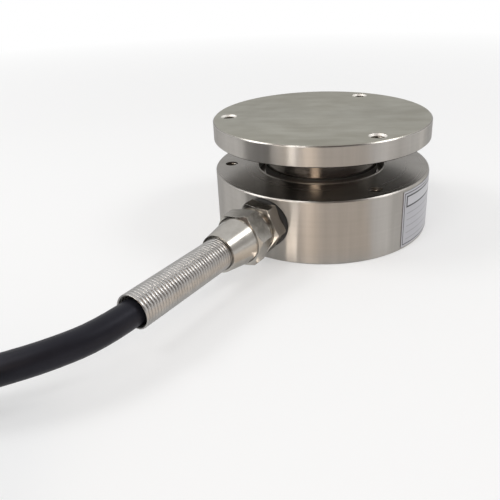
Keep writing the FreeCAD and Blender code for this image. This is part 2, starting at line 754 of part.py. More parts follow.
def cable_tail():
    """The cable's far end on top of the coil: the jacket's last stretch, the cores and the drain wire."""
    centre = coil_frame()[0]
    turn = FreeCAD.Rotation(V(0, 0, 1), size("tail_turn"))
    radial = turn.multVec(V(1, 0, 0))
    onward = turn.multVec(V(0, 1, 0))
    floor = centre + radial * size("tail_radius") - onward * size("tail_setback")
    floor.z = size(COIL_TOP)
    jacket_end = floor + V(0, 0, size("cable_diameter / 2"))
    tail = rod("cable_tail", "cable_diameter", "tail_length")
    back = jacket_end - onward * size("tail_length")
    tail.Placement = FreeCAD.Placement(back, FreeCAD.Rotation(V(0, 0, 1), onward))
    finished(tail, "cable_tail")
    for k, (name, angle) in enumerate(STRANDS.items()):
        rank = k - (len(STRANDS) - 1) / 2
        around = math.radians(angle)
        reach = size("core_circle / 2")
        start = jacket_end + onward * size("core_standoff")
        start += radial * (reach * math.cos(around)) + V(0, 0, reach * math.sin(around))
        end = floor + onward * size("core_length") + radial * (rank * size("core_spread"))
        end += V(0, 0, size("core_diameter / 2"))
        diameter = "drain_diameter" if name == "shield_drain" else "core_diameter"
        core = strand(name, diameter, "core_length")
        core.Placement = FreeCAD.Placement(start, FreeCAD.Rotation(V(0, 0, 1), end - start))
        finished(core, name)


def write_parts():
    """Check every object, then write each sub-part's solids."""
    doc.recompute()
    for thing in doc.Objects:
        if {"Invalid", "Error"} & set(thing.State):
            raise SystemExit(f"{thing.Name} failed: {thing.State}")
    for part in sub_parts:
        if part.Shape.isNull() or not part.Shape.isValid() or not part.Shape.Solids:
            raise SystemExit(f"{part.Label} has no valid solid")
    os.makedirs("parts", exist_ok=True)
    for part in sub_parts:
        part.Shape.exportStep(f"parts/{part.Label}.step")
    print(len(sub_parts), "sub-parts written")


sensing_body()
load_plate()
plate_screw()
bottom_cover()
strain_gauges()
bridge_ribbons()
terminal_board()
gland_body()
gland_seals()
gland_cap()
relief_spring()
side_label()
cable()
cable_coil()
cable_tie()
cable_tail()
write_parts()
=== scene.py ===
"""Looks of a round weighing load cell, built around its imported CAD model. Lengths are in metres."""

import math

import bmesh
import bpy
from mathutils import Matrix, Vector


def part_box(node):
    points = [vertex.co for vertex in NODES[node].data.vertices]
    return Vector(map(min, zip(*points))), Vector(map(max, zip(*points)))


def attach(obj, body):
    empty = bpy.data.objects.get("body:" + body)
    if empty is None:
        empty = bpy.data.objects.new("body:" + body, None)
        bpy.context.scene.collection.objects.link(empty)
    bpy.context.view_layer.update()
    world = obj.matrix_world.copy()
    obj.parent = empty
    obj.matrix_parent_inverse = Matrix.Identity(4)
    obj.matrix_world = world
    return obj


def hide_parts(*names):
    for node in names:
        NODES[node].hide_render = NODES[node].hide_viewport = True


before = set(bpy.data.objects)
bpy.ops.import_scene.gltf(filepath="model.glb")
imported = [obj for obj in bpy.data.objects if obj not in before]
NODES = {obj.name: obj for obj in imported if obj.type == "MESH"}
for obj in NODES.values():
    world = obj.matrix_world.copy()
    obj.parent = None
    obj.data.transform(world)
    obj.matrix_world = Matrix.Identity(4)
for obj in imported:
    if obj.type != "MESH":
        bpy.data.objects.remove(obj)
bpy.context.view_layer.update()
MM = 0.001

# Camera, fitted to the outlines of the two discs
CAMERA_AZIMUTH = 27.8
CAMERA_ELEVATION = 24.0753
CAMERA_DISTANCE = 161.7026 * MM
CAMERA_AIM_HEIGHT = 0.312 * MM
CAMERA_PAN = -6.0094
CAMERA_ROLL = 0.1508
CAMERA_LENS = 41.4166
CAMERA_SENSOR = 36.0
CAMERA_SHIFT = (-0.02, -0.07)
CAMERA_CLIP = (1 * MM, 100.0)

# Main sizes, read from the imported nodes, and the heights of the two faces at the gap
BODY_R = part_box("sensing_body")[1].x
PLATE_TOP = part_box("load_plate")[1].z
PLATE_UNDER = 24.0 * MM
BODY_TOP = 16.0 * MM
SPRING_LOW, SPRING_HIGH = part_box("relief_spring")
GLAND_HEIGHT = (SPRING_LOW.z + SPRING_HIGH.z) / 2
SPRING_TIP = SPRING_LOW.y
TAIL_LOW, TAIL_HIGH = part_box("cable_tail")

# Tapped holes through both discs
HOLE_CIRCLE_R = 24.0 * MM
HOLE_ANGLES = (90, 210, 330)
HOLE_R = 1.65 * MM
HOLE_PITCH = 0.7 * MM
HOLE_RIDGE = 0.12 * MM
HOLE_SINK = 0.5 * MM

# Gland thread that shows between the two hexagons
GLAND_THREAD_R = 4.6 * MM
GLAND_THREAD_SPAN = (-34.5 * MM, -32.5 * MM)
GLAND_PITCH = 0.7 * MM
GLAND_RIDGE = 0.22 * MM

# Seal under the gland's hexagon: its flange lies on the body's wall, round the seat that it fills
SEAL_LOW, SEAL_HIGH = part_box("gland_seal")
SEAL_BORE_R = 4.1 * MM
SEAL_FLANGE_R = 6.0 * MM
SEAL_EDGE = 0.2 * MM
SEAL_OFF = 0.02 * MM
SEAL_SIDES = 72
SEAL_CREASE = 50

# Cable, along the CAD model's route with three of its points lowered
CABLE_D = 5.3 * MM
CABLE_R = CABLE_D / 2
CABLE_SIDES = 20
CABLE_STEPS = 6
ROUTE = [
    (0.0, -0.06714, 0.0095),
    (0.0, -0.07764, 0.0091),
    (-0.0038, -0.08764, 0.0089),
    (-0.0110, -0.09614, 0.00775),
    (-0.0182, -0.10344, 0.0054),
    (-0.0240, -0.11174, 0.00265),
    (-0.0285, -0.12094, 0.00265),
]

# Put-away coil: turns lie in the grooves of the layer below
COIL_MEAN_R = 29.15 * MM
COIL_COLUMNS = 3
COIL_LAYERS = 4
COIL_POINTS = 16
COIL_CROSSING = 4
COIL_RISE = 7
COIL_LAST = 15
COIL_END_R = 33.2 * MM

# A layer's rise in cable diameters, and how far out control points lie for their runs to touch a turn
COIL_LAYER_RISE = math.sin(math.radians(60))
COIL_ROUND = 1 / math.cos(math.pi / COIL_POINTS)

# Tie round the coil, with the depths of its slot and tail counted from the strap's outer face
TIE_ANGLE = -45
TIE_HALF = 2.0 * MM
TIE_THICK = 0.8 * MM
TIE_EDGE = 0.15 * MM
TIE_BEND_STEP = 12
TIE_LOCK_LOW = 9.5 * MM
TIE_LOCK_HIGH = 14.5 * MM
TIE_LOCK_DEPTH = 4.6 * MM
TIE_LOCK_HALF = 2.5 * MM
TIE_LOCK_ROUND = 0.35 * MM
TIE_SLOT = (0.9 * MM, 2.5 * MM)
TIE_SLOT_HALF = 2.15 * MM
TIE_TAIL = (1.3 * MM, 2.1 * MM)
TIE_TAIL_BELOW = 1.2 * MM
TIE_TAIL_ABOVE = 2.2 * MM
TIE_TAIL_ROUND = 0.12 * MM

# Relief spring: drawn wire, flattened outside
WIRE_HALF = 0.37 * MM
WIRE_BULGE = 0.12 * MM
WIRE_DEPTH = 0.36 * MM
SPRING_TURNS = 39
SPRING_STEPS = 56
SPRING_END_ANGLE = 215
WIRE_SIDES = 14


# Helpers

def ridden(piece):
    """Fix a new piece to the one body."""
    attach(piece, "root")
    return piece


def mesh_piece(name, points, faces, material):
    """A smooth-shaded closed mesh as a piece of the object, with its faces turned outward."""
    mesh = bpy.data.meshes.new(name)
    mesh.from_pydata([tuple(p) for p in points], [], faces)
    shell = bmesh.new()
    shell.from_mesh(mesh)
    bmesh.ops.recalc_face_normals(shell, faces=shell.faces)
    shell.to_mesh(mesh)
    shell.free()
    mesh.shade_smooth()
    mesh.materials.append(material)
    piece = bpy.data.objects.new(name, mesh)
    bpy.context.scene.collection.objects.link(piece)
    return ridden(piece)


def ring_faces(rings, sides, first=0, closed=False):
    """Quads between neighbouring rings of points, with a cap at each end unless the rings close."""
    faces = []
    for i in range(rings if closed else rings - 1):
        a = first + i * sides
        b = first + (i + 1) % rings * sides
        for j in range(sides):
            k = (j + 1) % sides
            faces.append((a + j, a + k, b + k, b + j))
    if not closed:
        last = first + (rings - 1) * sides
        faces.append(tuple(reversed(range(first, first + sides))))
        faces.append(tuple(range(last, last + sides)))
    return faces


def nurbs_piece(name, points, radius, sides, steps, material):
    """A round cord along one smooth spline."""
    curve = bpy.data.curves.new(name, "CURVE")
    curve.dimensions = "3D"
    spline = curve.splines.new("NURBS")
    spline.points.add(len(points) - 1)
    for knot, point in zip(spline.points, points):
        knot.co = (*point, 1.0)
    spline.order_u = 3
    spline.use_endpoint_u = True
    spline.resolution_u = steps
    curve.bevel_depth = radius
    curve.bevel_resolution = (sides - 4) // 2
    curve.use_fill_caps = True
    curve.materials.append(material)
    piece = bpy.data.objects.new(name, curve)
    bpy.context.scene.collection.objects.link(piece)
    return ridden(piece)


def rounded(piece, width, segments):
    """Round the edges of a piece."""
    rounding = piece.modifiers.new("rounding", "BEVEL")
    rounding.width = width
    rounding.segments = segments


def turned_by(angle):
    """The level direction at an angle in degrees from +X."""
    return Vector((math.cos(math.radians(angle)), math.sin(math.radians(angle)), 0))


def shaded(colour, share):
    """A colour made darker or lighter by a share."""
    return tuple(min(1.0, c * share) for c in colour[:3]) + (1,)


NOISE_SPAN = (0.3, 0.7)
BEVEL_SAMPLES = 6


class Nodes:
    """A node tree, with short calls that add nodes and link them."""

    def __init__(self, tree):
        self.tree = tree

    def feed(self, socket, value):
        """Set a socket to a number or colour, or link another node's output to it."""
        if isinstance(value, bpy.types.NodeSocket):
            self.tree.links.new(value, socket)
        else:
            socket.default_value = value

    def add(self, kind, inputs=None, **settings):
        """Add a node, with its inputs set or linked."""
        node = self.tree.nodes.new(kind)
        for key, value in settings.items():
            setattr(node, key, value)
        for socket, value in (inputs or {}).items():
            self.feed(node.inputs[socket], value)
        return node

    def math(self, operation, *values):
        return self.add("ShaderNodeMath", dict(enumerate(values)), operation=operation).outputs[0]

    def sum(self, *values):
        total = values[0]
        for value in values[1:]:
            total = self.math("ADD", total, value)
        return total

    def times(self, a, b):
        return self.math("MULTIPLY", a, b)

    def split(self, vector):
        """A vector's x, y and z."""
        parts = self.add("ShaderNodeSeparateXYZ", {"Vector": vector})
        return parts.outputs["X"], parts.outputs["Y"], parts.outputs["Z"]

    def vector(self, x, y, z):
        return self.add("ShaderNodeCombineXYZ", {"X": x, "Y": y, "Z": z}).outputs[0]

    def place(self):
        """The point's place in the part's own frame, whole and as x, y and z."""
        where = self.add("ShaderNodeTexCoord").outputs["Object"]
        return where, *self.split(where)

    def from_axis(self, x, y):
        """Distance from an axis."""
        return self.math("SQRT", self.sum(self.times(x, x), self.times(y, y)))

    def along(self, x, y, angle):
        """How far a point lies along the level direction at an angle from +X."""
        way = turned_by(angle)
        return self.sum(self.times(x, way.x), self.times(y, way.y))

    def noise(self, where, scale, detail=3.0, roughness=0.55, distortion=0.0):
        inputs = {"Vector": where, "Scale": scale, "Detail": detail, "Roughness": roughness,
                  "Distortion": distortion}
        return self.add("ShaderNodeTexNoise", inputs).outputs[0]

    def spread(self, value, low, high, to_low=0.0, to_high=1.0):
        """Stretch a value from one range to another, held at both ends."""
        inputs = {"Value": value, "From Min": low, "From Max": high, "To Min": to_low, "To Max": to_high}
        return self.add("ShaderNodeMapRange", inputs).outputs[0]

    def varied(self, noise, low, high):
        """A noise as a value that mostly runs from low to high."""
        return self.spread(noise, *NOISE_SPAN, low, high)

    def within(self, value, low, high, soft):
        """One inside a range and zero outside it, with soft ends."""
        rise = self.spread(value, low - soft, low + soft)
        return self.times(rise, self.spread(value, high - soft, high + soft, 1.0, 0.0))

    def mix(self, share, a, b):
        """Mix two colours."""
        return self.add("ShaderNodeMix", {0: share, 6: a, 7: b}, data_type="RGBA").outputs[2]

    def blend(self, share, a, b):
        """Mix two numbers."""
        return self.add("ShaderNodeMix", {0: share, 2: a, 3: b}, data_type="FLOAT").outputs[0]


class Finish(Nodes):
    """A procedural material."""

    def __init__(self, name, **constants):
        self.material = bpy.data.materials.new(name)
        self.material.use_nodes = True
        super().__init__(self.material.node_tree)
        self.shader = self.tree.nodes["Principled BSDF"]
        for socket, value in constants.items():
            self.shader.inputs[socket.replace("_", " ")].default_value = value

    def set(self, **values):
        """Set or link inputs of the shader."""
        for socket, value in values.items():
            self.feed(self.shader.inputs[socket.replace("_", " ")], value)

    def bump(self, height, distance, strength=1.0, edge=0.0):
        """Relief from a height, with edges rounded to a radius if one is given."""
        inputs = {"Height": height, "Distance": distance, "Strength": strength}
        if edge:
            bevel = self.add("ShaderNodeBevel", {"Radius": edge}, samples=BEVEL_SAMPLES)
            inputs["Normal"] = bevel.outputs[0]
        self.set(Normal=self.add("ShaderNodeBump", inputs).outputs[0])


# Metals

EDGE_TONE = (0.6, 0.6, 0.6, 1)
# Painted shade: the share by which the steel's colour is darkened off the outer walls and the top, in the
# gap between the discs
GAP_PAINTED_SHADE = 0.72
QUARTER_TURN = 0.25

# How near a face a point lies to be on it, and a height above the whole part, for steel with no matte top
FACE_NEAR = 0.1 * MM
NOT_MATTE = 1.0

# How far up a face's normal points where it begins to count as flat or level, and where it fully does
FLAT_SPAN = (0.6, 0.8)
LEVEL_SPAN = (0.8, 0.9)

# Marks of the lathe, bands round the walls, and clouds and wiped smears on flat faces
RING_FINE = 5200.0
RING_BROAD = 1200.0
RING_STRETCH = 0.02
RING_FINE_SHARE = 0.3
RING_RELIEF = 0.004 * MM
RING_STRENGTH = 0.15
BAND_SCALE = 230.0
BAND_STRETCH = 0.06
CLOUD_SCALE = 75.0
SMEAR_SCALE = 330.0
SMEAR_STRETCH = 0.25
SMEAR_SHARE = 0.5
WIPE_ANGLE = 28
TONE_SPAN = (0.38, 0.62)
RING_TONE = 0.2
RING_TONE_TOP = 0.05

# Roughness of the boss, the faces at the gap, the outer walls, the top, and the lip and countersinks with
# painted highlights
BOSS_ROUGH = (0.15, 0.19)
SEAT_ROUGH = (0.22, 0.28)
WALL_ROUGH = (0.33, 0.37)
TOP_ROUGH = (0.32, 0.40)
HIGHLIGHT_ROUGH = 0.55

# How far highlights are drawn out at the gap, on the outer walls and on the top
GAP_STREAK = 0.2
WALL_STREAK = 1.0
TOP_STREAK = 0.35

# Duller foot of the boss, and the lip of the well round it, which carries a painted highlight
FOOT_BLEND = 0.8 * MM
FOOT_ROUGH = 0.45
WELL_R = 16.65 * MM
LIP_WIDTH = 0.20 * MM
LIP_INSET = 0.06 * MM
LIP_SOFT = 0.01 * MM
# Painted highlight: a pale colour on the well's lip and in the countersinks, standing in for the light
# they catch
LIP_AND_SINK_HIGHLIGHT = (0.78, 0.76, 0.72, 1)


def hole_distance(steel, x, y):
    """Distance from the axis of the nearest mounting hole."""
    away = []
    for angle in HOLE_ANGLES:
        middle = turned_by(angle) * HOLE_CIRCLE_R
        off_x = steel.math("SUBTRACT", x, middle.x)
        off_y = steel.math("SUBTRACT", y, middle.y)
        away.append(steel.from_axis(off_x, off_y))
    return steel.math("MINIMUM", steel.math("MINIMUM", away[0], away[1]), away[2])


def painted_highlight_mask(steel, x, y, z, radius, up, matte_above):
    """Mask of the painted highlight: one on the well's lip and in the countersinks of a matte top, zero
    elsewhere.
    """
    on_lip = steel.within(radius, WELL_R + LIP_INSET, WELL_R + LIP_WIDTH, LIP_SOFT)
    lip = steel.times(on_lip, steel.math("LESS_THAN", z, BODY_TOP + LIP_WIDTH))
    near_hole = steel.math("LESS_THAN", hole_distance(steel, x, y), HOLE_R + HOLE_SINK)
    sunk = steel.times(near_hole, steel.math("GREATER_THAN", z, matte_above - HOLE_SINK))
    return steel.math("MAXIMUM", lip, steel.times(sunk, steel.spread(up, *LEVEL_SPAN, 1.0, 0.0)))


def turned_steel(name, dark, light, top_dark, top_light, matte_above):
    """Steel turned on a lathe: rings on flat faces, bands round the walls, a duller top face, painted
    shade in the gap and painted highlights on the lip and countersinks.
    """
    steel = Finish(name, Metallic=1.0, Anisotropic_Rotation=QUARTER_TURN, Specular_Tint=EDGE_TONE)
    where, x, y, z = steel.place()
    radius = steel.from_axis(x, y)
    up = steel.split(steel.add("ShaderNodeNewGeometry").outputs["True Normal"])[2]
    flat = steel.spread(steel.math("ABSOLUTE", up), *FLAT_SPAN)
    top = steel.times(steel.spread(up, *FLAT_SPAN), steel.math("GREATER_THAN", z, matte_above))
    outer = steel.math("GREATER_THAN", radius, BODY_R - FACE_NEAR)
    highlight_mask = painted_highlight_mask(steel, x, y, z, radius, up, matte_above)

    across = steel.blend(flat, z, radius)
    rings = steel.vector(across, steel.times(x, RING_STRETCH), steel.times(y, RING_STRETCH))
    fine = steel.noise(rings, RING_FINE, detail=2.0)
    broad = steel.noise(rings, RING_BROAD)
    bands = steel.noise(steel.vector(x, y, steel.times(z, BAND_STRETCH)), BAND_SCALE, roughness=0.6)
    cloud = steel.noise(where, CLOUD_SCALE, detail=4.0, roughness=0.6, distortion=0.6)
    wiped = steel.vector(steel.times(steel.along(x, y, WIPE_ANGLE), SMEAR_STRETCH),
                         steel.along(x, y, WIPE_ANGLE + 90), z)
    smear = steel.noise(wiped, SMEAR_SCALE, detail=4.0, roughness=0.6)
    mottle = steel.blend(flat, bands, steel.blend(SMEAR_SHARE, cloud, smear))

    ring_share = steel.blend(top, RING_TONE, RING_TONE_TOP)
    tone = steel.spread(steel.blend(ring_share, mottle, broad), *TONE_SPAN)
    wall_colour = steel.mix(tone, dark, light)
    top_colour = steel.mix(tone, top_dark, top_light)
    # Painted shade: darker copies of the steel's colours on the faces in the gap, the boss and the well
    gap_painted_shade_colour = steel.mix(tone, shaded(dark, GAP_PAINTED_SHADE), shaded(light, GAP_PAINTED_SHADE))
    colour = steel.mix(top, steel.mix(outer, gap_painted_shade_colour, wall_colour), top_colour)

    foot = steel.spread(z, BODY_TOP - FOOT_BLEND, BODY_TOP + FOOT_BLEND, FOOT_ROUGH, 0.0)
    boss_rough = steel.sum(steel.varied(broad, *BOSS_ROUGH), foot)
    gap_rough = steel.blend(flat, boss_rough, steel.varied(broad, *SEAT_ROUGH))
    side_rough = steel.blend(outer, gap_rough, steel.varied(bands, *WALL_ROUGH))
    rough = steel.blend(top, side_rough, steel.varied(mottle, *TOP_ROUGH))
    streak = steel.blend(top, steel.blend(outer, GAP_STREAK, WALL_STREAK), TOP_STREAK)
    tangent = steel.add("ShaderNodeTangent", direction_type="RADIAL", axis="Z").outputs[0]
    # Painted highlight on the lip and countersinks, over the steel's colour
    steel.set(Base_Color=steel.mix(highlight_mask, colour, LIP_AND_SINK_HIGHLIGHT), Roughness=steel.blend(highlight_mask, rough, HIGHLIGHT_ROUGH),
              Anisotropic=streak, Tangent=tangent)
    steel.bump(steel.sum(steel.times(fine, RING_FINE_SHARE), broad), RING_RELIEF, RING_STRENGTH)
    return steel.material


HAZE_SCALE = 420.0
HAZE_ROUGH = 0.08
MARK_SCALE = 3800.0
MARK_STRETCH = 0.03
PLATE_RELIEF = 0.008 * MM
PLATE_STRENGTH = 0.12


def plated(name, dark, light, roughness, edge=0.0, scratch=0.4):
    """Bright plating with a faint haze and handling marks."""
    metal = Finish(name, Metallic=1.0, Specular_Tint=EDGE_TONE)
    where, x, y, z = metal.place()
    haze = metal.noise(where, HAZE_SCALE, detail=4.0, roughness=0.6, distortion=0.4)
    drawn = metal.vector(y, metal.times(x, MARK_STRETCH), metal.times(z, MARK_STRETCH))
    marks = metal.noise(drawn, MARK_SCALE, detail=2.0)
    metal.set(Base_Color=metal.mix(metal.varied(haze, 0.0, 1.0), dark, light),
              Roughness=metal.varied(haze, roughness, roughness + HAZE_ROUGH))
    metal.bump(metal.sum(haze, metal.times(marks, scratch)), PLATE_RELIEF, PLATE_STRENGTH, edge)
    return metal.material


# Plastics and other finishes

MOULD_CLOUD = 160.0
MOULD_SMOOTHER = 0.05
MOULD_ROUGHER = 0.08
MOULD_STRENGTH = 0.4


def plastic(name, dark, light, roughness, grain, depth, gloss=0.5, sheen=(1, 1, 1, 1)):
    """Moulded or extruded plastic with a slight grain."""
    made = Finish(name, Specular_IOR_Level=gloss, Specular_Tint=sheen)
    where = made.place()[0]
    cloud = made.noise(where, MOULD_CLOUD)
    fine = made.noise(where, 1 / grain)
    made.set(Base_Color=made.mix(made.varied(cloud, 0.0, 1.0), dark, light),
             Roughness=made.varied(fine, roughness - MOULD_SMOOTHER, roughness + MOULD_ROUGHER))
    made.bump(fine, depth, MOULD_STRENGTH)
    return made.material


# Label on the body's wall: its middle is an angle from +X, and its print has insets and heights
LABEL_MIDDLE = 23.5
LABEL_HALF = 20.6 * MM
LABEL_SPAN = (0.8 * MM, 15.2 * MM)
LABEL_SOFT = 0.05 * MM
LABEL_MARGIN = 0.45 * MM
LABEL_BORDER = 0.22 * MM
LABEL_HEADING = (1.2 * MM, 16 * MM, 11.0 * MM, 14.0 * MM)
LABEL_HEADING_LINE = 0.4 * MM
LABEL_RULES = 5
LABEL_RULE_LOW = 2.5 * MM
LABEL_RULE_STEP = 1.7 * MM
LABEL_RULE_INSET = 1.6 * MM
LABEL_RULE_LINE = 0.14 * MM
LABEL_RULE_INK = 0.55
LABEL_CLOUD = 200.0
LABEL_ROUGH = (0.32, 0.42)
LABEL_RELIEF = 0.01 * MM
LABEL_STRENGTH = 0.2
LABEL_METAL = 0.25
LABEL_SILVER = (0.43, 0.43, 0.465, 1)
LABEL_PALE = (0.53, 0.53, 0.56, 1)
LABEL_INK = (0.03, 0.03, 0.035, 1)


def label_foil():
    """Silvered foil printed with a border, an empty heading panel and ruled lines."""
    foil = Finish("label_foil", Metallic=LABEL_METAL)
    where, x, y, z = foil.place()
    turn = foil.math("ARCTAN2", foil.along(x, y, LABEL_MIDDLE + 90), foil.along(x, y, LABEL_MIDDLE))
    run = foil.times(turn, BODY_R)

    def panel(left, right, low, high):
        return foil.times(foil.within(run, left, right, LABEL_SOFT), foil.within(z, low, high, LABEL_SOFT))

    def frame_line(left, right, low, high, width):
        inside = panel(left + width, right - width, low + width, high - width)
        return foil.math("SUBTRACT", panel(left, right, low, high), inside)

    low, high = LABEL_SPAN
    side = LABEL_HALF - LABEL_MARGIN
    border = frame_line(-side, side, low + LABEL_MARGIN, high - LABEL_MARGIN, LABEL_BORDER)
    left, right, bottom, top = LABEL_HEADING
    heading = (left - LABEL_HALF, LABEL_HALF - right, bottom, top)
    ink = foil.math("MAXIMUM", border, frame_line(*heading, LABEL_HEADING_LINE))
    side = LABEL_HALF - LABEL_RULE_INSET
    for i in range(LABEL_RULES):
        height = LABEL_RULE_LOW + i * LABEL_RULE_STEP
        rule = panel(-side, side, height, height + LABEL_RULE_LINE)
        ink = foil.math("MAXIMUM", ink, foil.times(rule, LABEL_RULE_INK))
    cloud = foil.noise(where, LABEL_CLOUD)
    field = foil.mix(panel(*heading), foil.mix(cloud, LABEL_SILVER, LABEL_PALE), LABEL_PALE)
    foil.set(Base_Color=foil.mix(ink, field, LABEL_INK), Roughness=foil.varied(cloud, *LABEL_ROUGH))
    foil.bump(cloud, LABEL_RELIEF, LABEL_STRENGTH)
    return foil.material


# Materials

STEEL_DARK = (0.43, 0.41, 0.38, 1)
STEEL_LIGHT = (0.51, 0.485, 0.455, 1)
TOP_DARK = (0.35, 0.335, 0.28, 1)
TOP_LIGHT = (0.455, 0.445, 0.39, 1)
BODY_STEEL = turned_steel("body_steel", STEEL_DARK, STEEL_LIGHT, STEEL_DARK, STEEL_LIGHT, NOT_MATTE)
PLATE_STEEL = turned_steel("plate_steel", STEEL_DARK, STEEL_LIGHT, TOP_DARK, TOP_LIGHT,
                           PLATE_TOP - FACE_NEAR)
NICKEL = plated("gland_nickel", (0.41, 0.39, 0.358, 1), (0.493, 0.473, 0.436, 1),
                roughness=0.18, edge=0.08 * MM)
SPRING_STEEL = plated("spring_steel", (0.41, 0.40, 0.387, 1), (0.495, 0.485, 0.472, 1),
                      roughness=0.29, scratch=0.0)
THREAD_STEEL = plated("thread_steel", (0.31, 0.29, 0.265, 1), (0.43, 0.405, 0.37, 1), roughness=0.2)
SCREW_STEEL = plated("screw_steel", (0.10, 0.10, 0.10, 1), (0.18, 0.18, 0.18, 1), roughness=0.35)
COVER_METAL = plated("cover_metal", (0.45, 0.45, 0.45, 1), (0.56, 0.56, 0.56, 1), roughness=0.32)
COPPER = plated("ribbon_copper", (0.6, 0.3, 0.18, 1), (0.8, 0.42, 0.26, 1), roughness=0.25)
TIN = plated("drain_tin", (0.55, 0.55, 0.55, 1), (0.72, 0.72, 0.72, 1), roughness=0.22)
JACKET = plastic("cable_jacket", (0.010, 0.010, 0.0135, 1), (0.0145, 0.0145, 0.019, 1),
                 roughness=0.42, grain=0.35 * MM, depth=0.01 * MM, gloss=0.2, sheen=(0.85, 0.85, 1.0, 1))
RUBBER = plastic("seal_rubber", (0.006, 0.006, 0.006, 1), (0.012, 0.012, 0.012, 1),
                 roughness=0.6, grain=0.2 * MM, depth=0.01 * MM)
NYLON = plastic("ring_nylon", (0.6, 0.58, 0.52, 1), (0.7, 0.68, 0.62, 1),
                roughness=0.4, grain=0.3 * MM, depth=0.01 * MM)
TIE_NYLON = plastic("tie_nylon", (0.015, 0.015, 0.015, 1), (0.03, 0.03, 0.03, 1),
                    roughness=0.35, grain=0.3 * MM, depth=0.01 * MM)
GAUGE_FILM = plastic("gauge_film", (0.45, 0.2, 0.04, 1), (0.6, 0.3, 0.07, 1),
                     roughness=0.3, grain=0.2 * MM, depth=0.005 * MM)
BOARD = plastic("board_green", (0.01, 0.10, 0.04, 1), (0.02, 0.16, 0.06, 1),
                roughness=0.35, grain=0.4 * MM, depth=0.01 * MM)
CHIP = plastic("chip_black", (0.015, 0.015, 0.015, 1), (0.03, 0.03, 0.03, 1),
               roughness=0.4, grain=0.2 * MM, depth=0.01 * MM)
FOIL = label_foil()
CORE_COLOURS = {
    "red": (0.45, 0.02, 0.02, 1),
    "black": (0.012, 0.012, 0.012, 1),
    "green": (0.02, 0.22, 0.06, 1),
    "white": (0.7, 0.7, 0.68, 1),
}
CORE_DARK = 0.85
CORE_LIGHT = 1.1
CORE_PVC = {
    name: plastic(f"core_{name}", shaded(colour, CORE_DARK), shaded(colour, CORE_LIGHT),
                  roughness=0.4, grain=0.3 * MM, depth=0.005 * MM)
    for name, colour in CORE_COLOURS.items()
}

NODE_FINISH = {
    "sensing_body": BODY_STEEL,
    "load_plate": PLATE_STEEL,
    "plate_screw": SCREW_STEEL,
    "bottom_cover": COVER_METAL,
    "strain_gauge_inner_left": GAUGE_FILM,
    "strain_gauge_inner_right": GAUGE_FILM,
    "strain_gauge_outer_left": GAUGE_FILM,
    "strain_gauge_outer_right": GAUGE_FILM,
    "bridge_ribbons": COPPER,
    "terminal_board": BOARD,
    "trim_resistors": CHIP,
    "gland_body": NICKEL,
    "gland_grommet": RUBBER,
    "thrust_ring": NYLON,
    "gland_cap": NICKEL,
    "side_label": FOIL,
    "cable_inlet": JACKET,
    **{f"lead_{name}": CORE_PVC[name] for name in CORE_COLOURS},
}


def finish_nodes():
    """Give every CAD node that shows its material."""
    for name, material in NODE_FINISH.items():
        mesh = NODES[name].data
        mesh.materials.clear()
        mesh.materials.append(material)


# Cable

def coil_radius(layer, turn):
    """Radius of a turn, counted the way it is wound: in on even layers, out on odd ones."""
    if layer % 2 == 0:
        return COIL_MEAN_R + (COIL_COLUMNS - 1 - 2 * turn) * CABLE_R
    return COIL_MEAN_R + (2 * turn - (COIL_COLUMNS - 2)) * CABLE_R


def coil_layer_height(layer):
    """Height of the middle of a layer's turns."""
    return CABLE_R + layer * CABLE_D * COIL_LAYER_RISE


def coil_turns():
    """Radius and height of every turn, in the order of winding."""
    return [
        (coil_radius(layer, turn), coil_layer_height(layer))
        for layer in range(COIL_LAYERS)
        for turn in range(COIL_COLUMNS - layer % 2)
    ]


def coil_start():
    """Centre of the coil, and the angle at which the cable comes in along its outermost turn."""
    end = Vector(ROUTE[-1]).to_2d()
    heading = (end - Vector(ROUTE[-2]).to_2d()).normalized()
    left = Vector((-heading.y, heading.x))
    outer = coil_radius(0, 0)
    lead_in = math.sqrt((outer + CABLE_D)**2 - outer**2)
    centre = end + heading * lead_in + left * outer
    return centre.to_3d(), math.atan2(-left.y, -left.x)


def eased(share):
    """A share from 0 to 1 that starts and ends gently."""
    share = min(1.0, max(0.0, share))
    return share * share * (3 - 2 * share)


def coil_points():
    """Control points of the turns, from where the cable comes in to where its end rises."""
    centre, start = coil_start()
    turns = coil_turns()
    tail = (COIL_END_R, TAIL_HIGH.z - CABLE_R)
    points = []
    for i, (radius, height) in enumerate(turns):
        last = i + 1 == len(turns)
        count = COIL_LAST if last else COIL_POINTS
        crossing = COIL_RISE if last else COIL_CROSSING
        next_radius, next_height = tail if last else turns[i + 1]
        for k in range(count):
            share = eased((k + 0.5 - count + crossing) / crossing)
            r = (radius + (next_radius - radius) * share) * COIL_ROUND
            a = start + 2 * math.pi * (i + (k + 0.5) / COIL_POINTS)
            z = height + (next_height - height) * share
            points.append((centre.x + r * math.cos(a), centre.y + r * math.sin(a), z))
    return points


def cable(on_it):
    """The free cable: out of the spring, down to the floor, round the coil and up to its cut end."""
    middle = (TAIL_LOW + TAIL_HIGH) / 2
    tail = [(middle.x, TAIL_HIGH.y, middle.z), (middle.x, TAIL_LOW.y, middle.z)]
    points = ROUTE + coil_points() + tail
    piece = nurbs_piece("cable", points, CABLE_R, CABLE_SIDES, CABLE_STEPS, JACKET)
    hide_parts("cable_run", "cable_coil", "cable_tail")


# Stripped end of the cable

CORE_R = 0.6 * MM
CORE_SIDES = 16
CORE_STEPS = 8
CORE_RISE = 0.25 * MM
CORE_SWAY = {
    "core_red": 0.5 * MM,
    "core_black": -0.6 * MM,
    "shield_drain": 0.4 * MM,
    "core_green": -0.4 * MM,
    "core_white": 0.7 * MM,
}
STRIP_SHARE = 0.74
STRIP_TUCK = 0.02
STRAND_R = 0.34 * MM
STRAND_LOBES = 7
STRAND_LOBE_SIDES = 4
STRAND_GROOVE = 0.14
STRAND_LAY = 4.0 * MM
STRAND_STEP = 0.25 * MM
STRAND_FEWEST_RINGS = 12
DRAIN_R = 0.42 * MM


